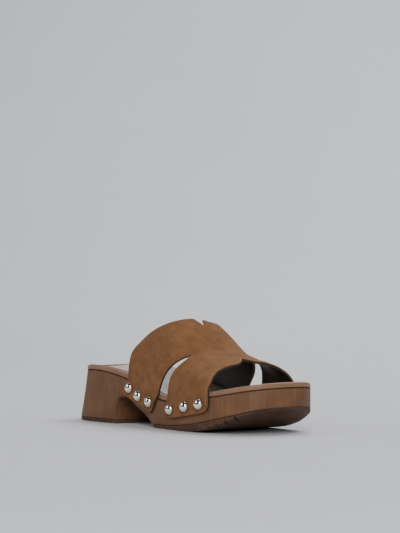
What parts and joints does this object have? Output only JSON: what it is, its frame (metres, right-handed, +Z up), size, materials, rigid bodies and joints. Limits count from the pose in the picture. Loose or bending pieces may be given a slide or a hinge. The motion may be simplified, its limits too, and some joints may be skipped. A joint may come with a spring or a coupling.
{
  "type": "heeled slide sandal",
  "caption": "Right-foot heeled slide sandal: H-cut band upper studded to a thick wood-look sole with a low block heel, open arch and ribbed tread.",
  "frame": {"origin": "middle of the sandal's box in plan, on the floor", "axes": "+X to the toe, +Y to the inner (medial) side of the right foot, +Z up"},
  "size_m": [0.258, 0.0972, 0.0878],
  "materials": {
    "sole_unit": "satin stained wood look, faint upright grain",
    "tread": "matt brown rubber with cross grooves",
    "insole_leather": "smooth pink-brown leather, lightly polished",
    "suede": "tan-brown suede with a dark smooth lining",
    "stud": "bright nickel"
  },
  "bodies": {
    "root": {"sole": "sole_unit", "outsole_heel": "tread", "outsole_forefoot": "tread", "insole": "insole_leather", "upper": "suede", "stud_outer_1": "stud", "stud_outer_2": "stud", "stud_outer_3": "stud", "stud_outer_4": "stud", "stud_outer_5": "stud", "stud_outer_6": "stud", "stud_inner_1": "stud", "stud_inner_2": "stud", "stud_inner_3": "stud", "stud_inner_4": "stud", "stud_inner_5": "stud", "stud_inner_6": "stud"}
  },
  "joints": []
}
